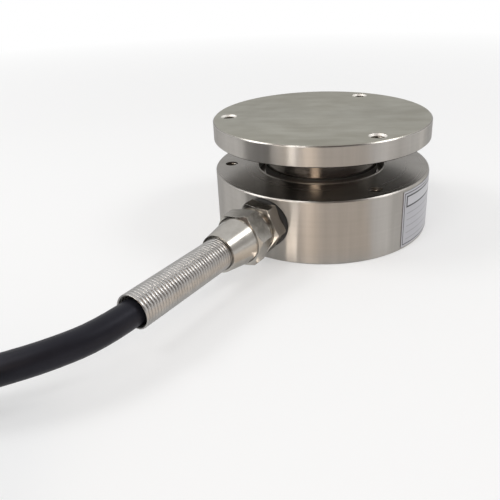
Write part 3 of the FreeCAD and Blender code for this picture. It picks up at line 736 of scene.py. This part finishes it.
def wire_line(node):
    """A quadratic curve along a wire's plain solid, bowed a little to one side and up."""
    corners = [v.co for v in NODES[node].data.vertices]
    near = max(v.y for v in corners)
    far = min(v.y for v in corners)
    middle = (near + far) / 2
    starts = [v for v in corners if v.y > middle]
    ends = [v for v in corners if v.y < middle]
    a = sum(starts, Vector()) / len(starts)
    c = sum(ends, Vector()) / len(ends)
    b = (a + c) / 2 + Vector((CORE_SWAY[node], 0, CORE_RISE))
    return a, b, c


def on_line(line, share):
    """The point at a share of a wire's line."""
    a, b, c = line
    return a.lerp(b, share).lerp(b.lerp(c, share), share)


def twisted_strands(name, line, start, radius):
    """Bare strands twisted together, from a share of a wire's line to its end."""
    length = (line[2] - line[0]).length * (1 - start)
    rings = max(STRAND_FEWEST_RINGS, round(length / STRAND_STEP))
    sides = STRAND_LOBES * STRAND_LOBE_SIDES
    way = (line[2] - line[0]).normalized()
    across = way.cross(Vector((0, 0, 1))).normalized()
    rise = across.cross(way)
    points = []
    for i in range(rings):
        share = i / (rings - 1)
        middle = on_line(line, start + (1 - start) * share)
        twist = 2 * math.pi * length * share / STRAND_LAY
        for j in range(sides):
            a = 2 * math.pi * j / sides
            r = radius * (1 - STRAND_GROOVE + STRAND_GROOVE * math.cos(STRAND_LOBES * a))
            points.append(middle + (across * math.cos(a + twist) + rise * math.sin(a + twist)) * r)
    return mesh_piece(name, points, ring_faces(rings, sides), TIN)


def stripped_end():
    """The cores with their stripped tips, the drain wire and the shield's foil collar."""
    pieces = []
    for colour in CORE_COLOURS:
        node = f"core_{colour}"
        line = wire_line(node)
        shares = (0, STRIP_SHARE / 3, STRIP_SHARE * 2 / 3, STRIP_SHARE)
        sleeve = nurbs_piece(f"{node}_sleeve", [on_line(line, s) for s in shares],
                             CORE_R, CORE_SIDES, CORE_STEPS, CORE_PVC[colour])
        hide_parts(node)
        pieces += [sleeve, twisted_strands(f"{node}_tip", line, STRIP_SHARE - STRIP_TUCK, STRAND_R)]
    drain = twisted_strands("drain_strands", wire_line("shield_drain"), 0, DRAIN_R)
    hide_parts("shield_drain")
    return [*pieces, drain, foil_collar()]


COLLAR_R = 2.1 * MM
COLLAR_WALL = 0.12 * MM
COLLAR_LENGTH = 1.6 * MM
COLLAR_TUCK = 0.5 * MM
COLLAR_SIDES = 40
COLLAR_CRUMPLE = 0.025
COLLAR_WAVES = (5, 9)


def foil_collar():
    """The shield's foil, left standing a little past the jacket."""
    middle = (TAIL_LOW + TAIL_HIGH) / 2
    start = TAIL_LOW.y + COLLAR_TUCK
    end = TAIL_LOW.y - COLLAR_LENGTH
    inside = COLLAR_R - COLLAR_WALL
    outline = [(COLLAR_R, start), (COLLAR_R, end), (inside, end), (inside, start)]
    slow, fast = COLLAR_WAVES
    points = []
    for j in range(COLLAR_SIDES):
        a = 2 * math.pi * j / COLLAR_SIDES
        crumple = 1 + COLLAR_CRUMPLE * math.sin(slow * a) * math.sin(fast * a)
        for r, y in outline:
            out = r * crumple
            points.append(Vector((middle.x + out * math.cos(a), y, middle.z + out * math.sin(a))))
    faces = ring_faces(COLLAR_SIDES, len(outline), closed=True)
    return mesh_piece("shield_collar", points, faces, TIN)


# Cable tie

def tie_line():
    """The tie's path in radius and height round the bundle of turns, with its outward direction."""
    inner, outer = coil_radius(0, COIL_COLUMNS - 1), coil_radius(0, 0)
    bottom = CABLE_R + TIE_THICK
    corners = [
        Vector((inner, bottom)),
        Vector((outer, bottom)),
        Vector((outer, coil_layer_height(2))),
        Vector((coil_radius(3, 1), coil_layer_height(3))),
        Vector((coil_radius(3, 0), coil_layer_height(3))),
        Vector((inner, coil_layer_height(2))),
    ]
    count = len(corners)
    outward = []
    for i in range(count):
        run = (corners[(i + 1) % count] - corners[i]).normalized()
        outward.append(math.atan2(-run.x, run.y))
    path = []
    for i, corner in enumerate(corners):
        turn = (outward[i] - outward[i - 1]) % (2 * math.pi)
        steps = max(2, round(turn / math.radians(TIE_BEND_STEP)))
        for k in range(steps + 1):
            a = outward[i - 1] + turn * k / steps
            path.append((corner, Vector((math.cos(a), math.sin(a)))))
    return path


def tie_strap(at):
    """The strap round the turns, with its edges broken."""
    flat = TIE_HALF - TIE_EDGE
    deep = TIE_THICK - TIE_EDGE
    section = [(0, -flat), (0, flat), (TIE_EDGE, TIE_HALF), (deep, TIE_HALF),
               (TIE_THICK, flat), (TIE_THICK, -flat), (deep, -TIE_HALF), (TIE_EDGE, -TIE_HALF)]
    path = tie_line()
    points = []
    for corner, out in path:
        for height, w in section:
            spot = corner + out * (CABLE_R + height)
            points.append(at(spot.x, w, spot.y))
    faces = ring_faces(len(path), len(section), closed=True)
    strap = mesh_piece("tie_strap", points, faces, TIE_NYLON)
    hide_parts("cable_tie")
    return strap


def cable_tie():
    """Flat strap pulled round the coil, with its lock and cut end outside."""
    centre = coil_start()[0]
    radial = turned_by(TIE_ANGLE)
    side = turned_by(TIE_ANGLE + 90)
    wall = coil_radius(0, 0) + CABLE_R + TIE_THICK

    def at(u, w, z):
        return centre + radial * u + side * w + Vector((0, 0, z))

    def loop(near, far, half, z):
        near, far = wall + near, wall + far
        return [at(near, -half, z), at(far, -half, z), at(far, half, z), at(near, half, z)]

    strap = tie_strap(at)
    outside = (0, TIE_LOCK_DEPTH, TIE_LOCK_HALF)
    slot = (*TIE_SLOT, TIE_SLOT_HALF)
    loops = [loop(*outside, TIE_LOCK_LOW), loop(*outside, TIE_LOCK_HIGH),
             loop(*slot, TIE_LOCK_HIGH), loop(*slot, TIE_LOCK_LOW)]
    faces = ring_faces(len(loops), len(loops[0]), closed=True)
    lock = mesh_piece("tie_lock", sum(loops, []), faces, TIE_NYLON)
    rounded(lock, TIE_LOCK_ROUND, segments=3)
    ends = [loop(*TIE_TAIL, TIE_HALF, TIE_LOCK_LOW - TIE_TAIL_BELOW),
            loop(*TIE_TAIL, TIE_HALF, TIE_LOCK_HIGH + TIE_TAIL_ABOVE)]
    faces = ring_faces(len(ends), len(ends[0]))
    tail = mesh_piece("tie_tail", sum(ends, []), faces, TIE_NYLON)
    rounded(tail, TIE_TAIL_ROUND, segments=2)
    return [strap, lock, tail]


# Spring, threads and seal

def relief_spring():
    """Close-wound wire helix round the cable."""
    middle_r = SPRING_HIGH.x - WIRE_BULGE
    count = SPRING_TURNS * SPRING_STEPS + 1
    start = SPRING_HIGH.y - WIRE_HALF
    travel = SPRING_TIP + WIRE_HALF - start
    points = []
    for i in range(count):
        a = math.radians(SPRING_END_ANGLE) + 2 * math.pi * i / SPRING_STEPS
        out = Vector((math.cos(a), 0, math.sin(a)))
        middle = Vector((0, start + travel * i / (count - 1), GLAND_HEIGHT)) + out * middle_r
        for j in range(WIRE_SIDES):
            b = 2 * math.pi * j / WIRE_SIDES
            depth = WIRE_BULGE if math.cos(b) > 0 else WIRE_DEPTH
            points.append(middle + out * depth * math.cos(b) + Vector((0, WIRE_HALF * math.sin(b), 0)))
    piece = mesh_piece("spring_wire", points, ring_faces(count, WIRE_SIDES), SPRING_STEEL)
    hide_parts("relief_spring")


# Threads: the foot and crest of a ridge are shares of its pitch, each way from its middle
RIDGE_STEPS = 28
RIDGE_SINK = 0.03 * MM
RIDGE_FOOT = 0.42
RIDGE_CREST = 0.06


def ridge(base, axis, out, length, radius, height, pitch):
    """Points of a helical ridge, outward if its height is positive, with its counts of rings and sides."""
    side = axis.cross(out)
    count = round(length / pitch * RIDGE_STEPS)
    root = radius - math.copysign(RIDGE_SINK, height)
    tip = radius + height
    section = [(root, -RIDGE_FOOT), (tip, -RIDGE_CREST), (tip, RIDGE_CREST), (root, RIDGE_FOOT)]
    points = []
    for i in range(count):
        a = 2 * math.pi * i / RIDGE_STEPS
        way = out * math.cos(a) + side * math.sin(a)
        for r, along in section:
            points.append(base + way * r + axis * (length * i / count + along * pitch))
    return points, count, len(section)


def ridge_piece(name, ridges, material):
    """Several helical ridges as one piece."""
    points, faces = [], []
    for some, rings, sides in ridges:
        faces += ring_faces(rings, sides, first=len(points))
        points += some
    mesh_piece(name, points, faces, material)


def threads():
    """Threads of the tapped holes, and of the gland where it shows between the hexagons."""
    up = Vector((0, 0, 1))
    spans = {"body_threads": (HOLE_SINK, BODY_TOP), "plate_threads": (PLATE_UNDER, PLATE_TOP - HOLE_SINK)}
    for name, (low, high) in spans.items():
        ridges = []
        for angle in HOLE_ANGLES:
            way = turned_by(angle)
            base = way * HOLE_CIRCLE_R + up * (low + HOLE_PITCH / 2)
            ridges.append(ridge(base, up, way, high - low - HOLE_PITCH, HOLE_R, -HOLE_RIDGE, HOLE_PITCH))
        ridge_piece(name, ridges, THREAD_STEEL)
    front, back = GLAND_THREAD_SPAN
    base = Vector((0, front, GLAND_HEIGHT))
    gland = ridge(base, Vector((0, 1, 0)), Vector((1, 0, 0)), back - front,
                  GLAND_THREAD_R, GLAND_RIDGE, GLAND_PITCH)
    ridge_piece("gland_thread", [gland], NICKEL)


def off_wall(x):
    """How far out along Y the back of the seal's flange lies at a place across the wall."""
    return -math.sqrt(BODY_R**2 - x**2) - SEAL_OFF


def gland_seal():
    """Rubber seal that fills the gland's seat, with a flange that follows the round wall."""
    seat_r = SEAL_HIGH.x
    points = []
    for i in range(SEAL_SIDES):
        a = 2 * math.pi * i / SEAL_SIDES
        outline = [
            (SEAL_BORE_R, SEAL_LOW.y),
            (SEAL_FLANGE_R - SEAL_EDGE, SEAL_LOW.y),
            (SEAL_FLANGE_R, SEAL_LOW.y + SEAL_EDGE),
            (SEAL_FLANGE_R, off_wall(SEAL_FLANGE_R * math.cos(a))),
            (seat_r, off_wall(seat_r * math.cos(a))),
            (seat_r, SEAL_HIGH.y),
            (SEAL_BORE_R, SEAL_HIGH.y),
        ]
        for r, y in outline:
            points.append(Vector((r * math.cos(a), y, GLAND_HEIGHT + r * math.sin(a))))
    faces = ring_faces(SEAL_SIDES, len(outline), closed=True)
    piece = mesh_piece("seal_flange", points, faces, RUBBER)
    piece.data.set_sharp_from_angle(angle=math.radians(SEAL_CREASE))
    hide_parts("gland_seal")


# Stage

WHITE = (1, 1, 1, 1)
PAPER_ROUGH = 0.9

# Floor: the share of its own white grows from near the object to far from it
FLOOR_SIZE = 6.0
FLOOR_WHITE = (0.93, 0.93, 0.93, 1)
FLOOR_MIDDLE = -0.08
FLOOR_NEAR = 0.2
FLOOR_FAR = 0.5
FLOOR_LIFT = 0.4

# Surroundings: a white backdrop behind the object, and a dim room above the floor in front of it
SKY_BACK = (0.95, 0.95, 0.95, 1)
SKY_FRONT = (0.11, 0.08, 0.07, 1)
SKY_DIFFUSE = (0.54, 0.54, 0.54, 1)
SKY_TURN = 0.3
SKY_RISE = (0.05, 0.17)

# Cards
CARD_HEIGHT = 0.05 * MM
CARD_STEPS = 6
CARD_BLACK = (0.02, 0.018, 0.016, 1)
CARD_WARM = (0.92, 0.83, 0.745, 1)
CARD_BROWN = (0.35, 0.29, 0.26, 1)
# Grey of the card that stands in for the object's shadow on the floor behind it
CARD_SHADOW_GREY = (0.2, 0.2, 0.2, 1)


def camera_way(azimuth):
    """The level direction at an azimuth from the camera's own, positive to the camera's right."""
    return turned_by(CAMERA_AZIMUTH - 90 + azimuth)


def seen_ray(nodes):
    """One for what the camera sees, straight, in a mirror or through glass."""
    path = nodes.add("ShaderNodeLightPath").outputs
    mirrored = nodes.math("MAXIMUM", path["Is Glossy Ray"], path["Is Transmission Ray"])
    return nodes.math("MAXIMUM", path["Is Camera Ray"], mirrored)


def stage_piece(name, corners, material):
    """A flat piece of the stage."""
    mesh = bpy.data.meshes.new(name)
    mesh.from_pydata([tuple(c) for c in corners], [], [tuple(range(len(corners)))])
    mesh.materials.append(material)
    piece = bpy.data.objects.new(name, mesh)
    bpy.context.scene.collection.objects.link(piece)
    return piece


def floor():
    """Plain pale floor, pure white away from the object."""
    half = FLOOR_SIZE / 2
    paint = Finish("floor_white", Roughness=PAPER_ROUGH, Specular_IOR_Level=0.0, Base_Color=FLOOR_WHITE)
    x, y = paint.place()[1:3]
    away = paint.from_axis(x, paint.math("SUBTRACT", y, FLOOR_MIDDLE))
    share = paint.times(paint.spread(away, FLOOR_NEAR, FLOOR_FAR, FLOOR_LIFT, 1.0), seen_ray(paint))
    glow = paint.add("ShaderNodeEmission").outputs[0]
    mixed = paint.add("ShaderNodeMixShader", {0: share, 1: paint.shader.outputs[0], 2: glow}).outputs[0]
    paint.feed(paint.tree.nodes["Material Output"].inputs["Surface"], mixed)
    corners = [(-half, -half, 0), (half, -half, 0), (half, half, 0), (-half, half, 0)]
    stage_piece("floor", corners, paint.material)


def card(name, first, last, near, far, colour, rise=0.0, glow=0.0):
    """A card that shows only in polished metal, on the floor or with its far edge raised, and may glow.

    The body's wall mirrors it between two azimuths, from a near to a far distance off the wall.
    """
    paint = Finish(name, Roughness=PAPER_ROUGH, Specular_IOR_Level=0.0, Base_Color=colour,
                   Emission_Color=colour, Emission_Strength=glow)
    turns = [first + (last - first) * i / CARD_STEPS for i in range(CARD_STEPS + 1)]
    corners = []
    for off, height, edge in ((near, CARD_HEIGHT, turns), (far, CARD_HEIGHT + rise, reversed(turns))):
        for turn in edge:
            spot = camera_way(turn / 2) * BODY_R + camera_way(turn) * off
            corners.append(spot + Vector((0, 0, height)))
    piece = stage_piece(name, corners, paint.material)
    piece.visible_camera = False
    piece.visible_diffuse = False
    piece.visible_transmission = False
    piece.visible_shadow = False


def cards():
    """Cards that give the walls their dark and light bands."""
    card("dark_card", first=-83, last=-51, near=24 * MM, far=120 * MM, colour=CARD_BLACK)
    card("dark_flag", first=-83, last=-51, near=120 * MM, far=121 * MM, colour=CARD_BLACK, rise=120 * MM)
    card("warm_card", first=-23.5, last=52, near=3 * MM, far=80 * MM, colour=CARD_WARM, glow=0.15)
    card("glow_card", first=-34, last=-23.5, near=5 * MM, far=11 * MM, colour=CARD_WARM, rise=5 * MM,
         glow=2.6)
    card("glow_back", first=-34.5, last=-23, near=5.3 * MM, far=11.3 * MM, colour=CARD_WARM, rise=5 * MM)
    card("right_card", first=71, last=102, near=38 * MM, far=62 * MM, colour=CARD_BROWN)
    # Painted shadow: a grey card where the floor behind the object would lie in its shadow, seen only in
    # the metal
    card("shade_card", first=170, last=188, near=30 * MM, far=100 * MM, colour=CARD_SHADOW_GREY)


def sky():
    """Studio surroundings: white to the camera, and mirrored as a backdrop with a dim room in front."""
    world = bpy.data.worlds.new("studio")
    bpy.context.scene.world = world
    world.use_nodes = True
    room = Nodes(world.node_tree)
    x, y, z = room.split(room.add("ShaderNodeTexCoord").outputs["Generated"])
    toward = room.spread(room.along(x, y, CAMERA_AZIMUTH - 90), -SKY_TURN, SKY_TURN)
    dim = room.times(toward, room.spread(z, *SKY_RISE))
    backdrop = room.mix(dim, SKY_BACK, SKY_FRONT)
    colour = room.mix(seen_ray(room), SKY_DIFFUSE, backdrop)
    straight = room.add("ShaderNodeLightPath").outputs["Is Camera Ray"]
    room.feed(room.tree.nodes["Background"].inputs["Color"], room.mix(straight, colour, WHITE))


NEUTRAL_LIGHT = (1, 1, 1)
CREAM_LIGHT = (1.0, 0.93, 0.86)
PALE_LIGHT = (1.0, 0.94, 0.86)
AMBER_LIGHT = (1.0, 0.8, 0.62)


def softbox(name, azimuth, elevation, distance, size, brightness, colour=NEUTRAL_LIGHT, matt=True):
    """An area lamp aimed at the object, placed by its direction from the camera's own azimuth.

    Without matt, it lights polished surfaces only.
    """
    width, height = size
    lamp = bpy.data.lights.new(name, "AREA")
    lamp.shape = "RECTANGLE"
    lamp.size = width
    lamp.size_y = height
    lamp.energy = brightness * math.pi * width * height
    lamp.color = colour
    box = bpy.data.objects.new(name, lamp)
    rise = math.radians(elevation)
    away = camera_way(azimuth) * math.cos(rise) + Vector((0, 0, math.sin(rise)))
    box.location = away * distance
    box.rotation_mode = "QUATERNION"
    box.rotation_quaternion = away.to_track_quat("Z", "Y")
    box.visible_camera = False
    box.visible_diffuse = matt
    bpy.context.scene.collection.objects.link(box)


def lights():
    """Soft lamps round the object."""
    softbox("left_light", azimuth=-87, elevation=48, distance=0.5, size=(0.18, 0.15), brightness=6.0)
    softbox("right_light", azimuth=87, elevation=48, distance=0.5, size=(0.18, 0.15), brightness=5.8)
    softbox("front_light", azimuth=-11, elevation=24, distance=0.6, size=(0.14, 0.12), brightness=7.0,
            colour=AMBER_LIGHT)
    softbox("key_light", azimuth=-43, elevation=42, distance=0.6, size=(0.19, 0.10), brightness=15.0,
            colour=CREAM_LIGHT, matt=False)
    softbox("low_light", azimuth=-28, elevation=4, distance=0.6, size=(0.07, 0.10), brightness=14.0,
            colour=CREAM_LIGHT, matt=False)
    softbox("high_light", azimuth=-35, elevation=63, distance=0.6, size=(0.16, 0.06), brightness=12.0)
    softbox("right_back", azimuth=116, elevation=6, distance=0.6, size=(0.14, 0.05), brightness=2.2,
            colour=PALE_LIGHT)


def camera():
    """The camera of the photograph."""
    data = bpy.data.cameras.new("camera")
    data.sensor_width = CAMERA_SENSOR
    data.lens = CAMERA_LENS
    data.shift_x, data.shift_y = CAMERA_SHIFT
    data.clip_start, data.clip_end = CAMERA_CLIP
    view = bpy.data.objects.new("camera", data)
    elevation = math.radians(CAMERA_ELEVATION)
    stand = Vector((0, -CAMERA_DISTANCE * math.cos(elevation),
                    CAMERA_DISTANCE * math.sin(elevation) + CAMERA_AIM_HEIGHT))
    view.matrix_world = (
        Matrix.Rotation(math.radians(CAMERA_AZIMUTH), 4, "Z")
        @ Matrix.Translation(stand)
        @ Matrix.Rotation(math.pi / 2 - elevation, 4, "X")
        @ Matrix.Rotation(-math.radians(CAMERA_PAN), 4, "Y")
        @ Matrix.Rotation(math.radians(CAMERA_ROLL), 4, "Z")
    )
    bpy.context.scene.collection.objects.link(view)
    bpy.context.scene.camera = view


finish_nodes()
cable(stripped_end() + cable_tie())
relief_spring()
threads()
gland_seal()
floor()
cards()
sky()
lights()
camera()
bpy.context.scene.view_settings.view_transform = "Standard"
